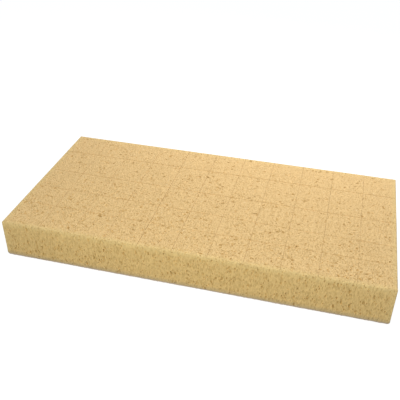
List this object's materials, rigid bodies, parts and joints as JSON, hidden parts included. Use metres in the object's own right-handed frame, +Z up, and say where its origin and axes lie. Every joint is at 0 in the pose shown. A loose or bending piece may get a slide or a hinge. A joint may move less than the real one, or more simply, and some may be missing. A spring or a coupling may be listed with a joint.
{
  "type": "cleaning sponge",
  "caption": "Rectangular open-cell foam cleaning sponge scored with a grid of slits on top, on a thin loop-fabric backing that sticks to a flat hook plate.",
  "frame": {"origin": "centre of the pad's underside, on the surface that it lies on", "axes": "+X along the pad's length to its right end, +Y across its width to its back edge, +Z up, out of the slit face"},
  "size_m": [0.28, 0.14, 0.03],
  "materials": {
    "foam": "dry open-cell sponge foam, pale yellow, fully matte, cells cut open on every face",
    "loop_fabric": "brushed loop fabric, warm off-white, matte with short nap"
  },
  "bodies": {
    "root": {"loop_backing": "loop_fabric", "foam_pad": "foam"}
  },
  "joints": []
}
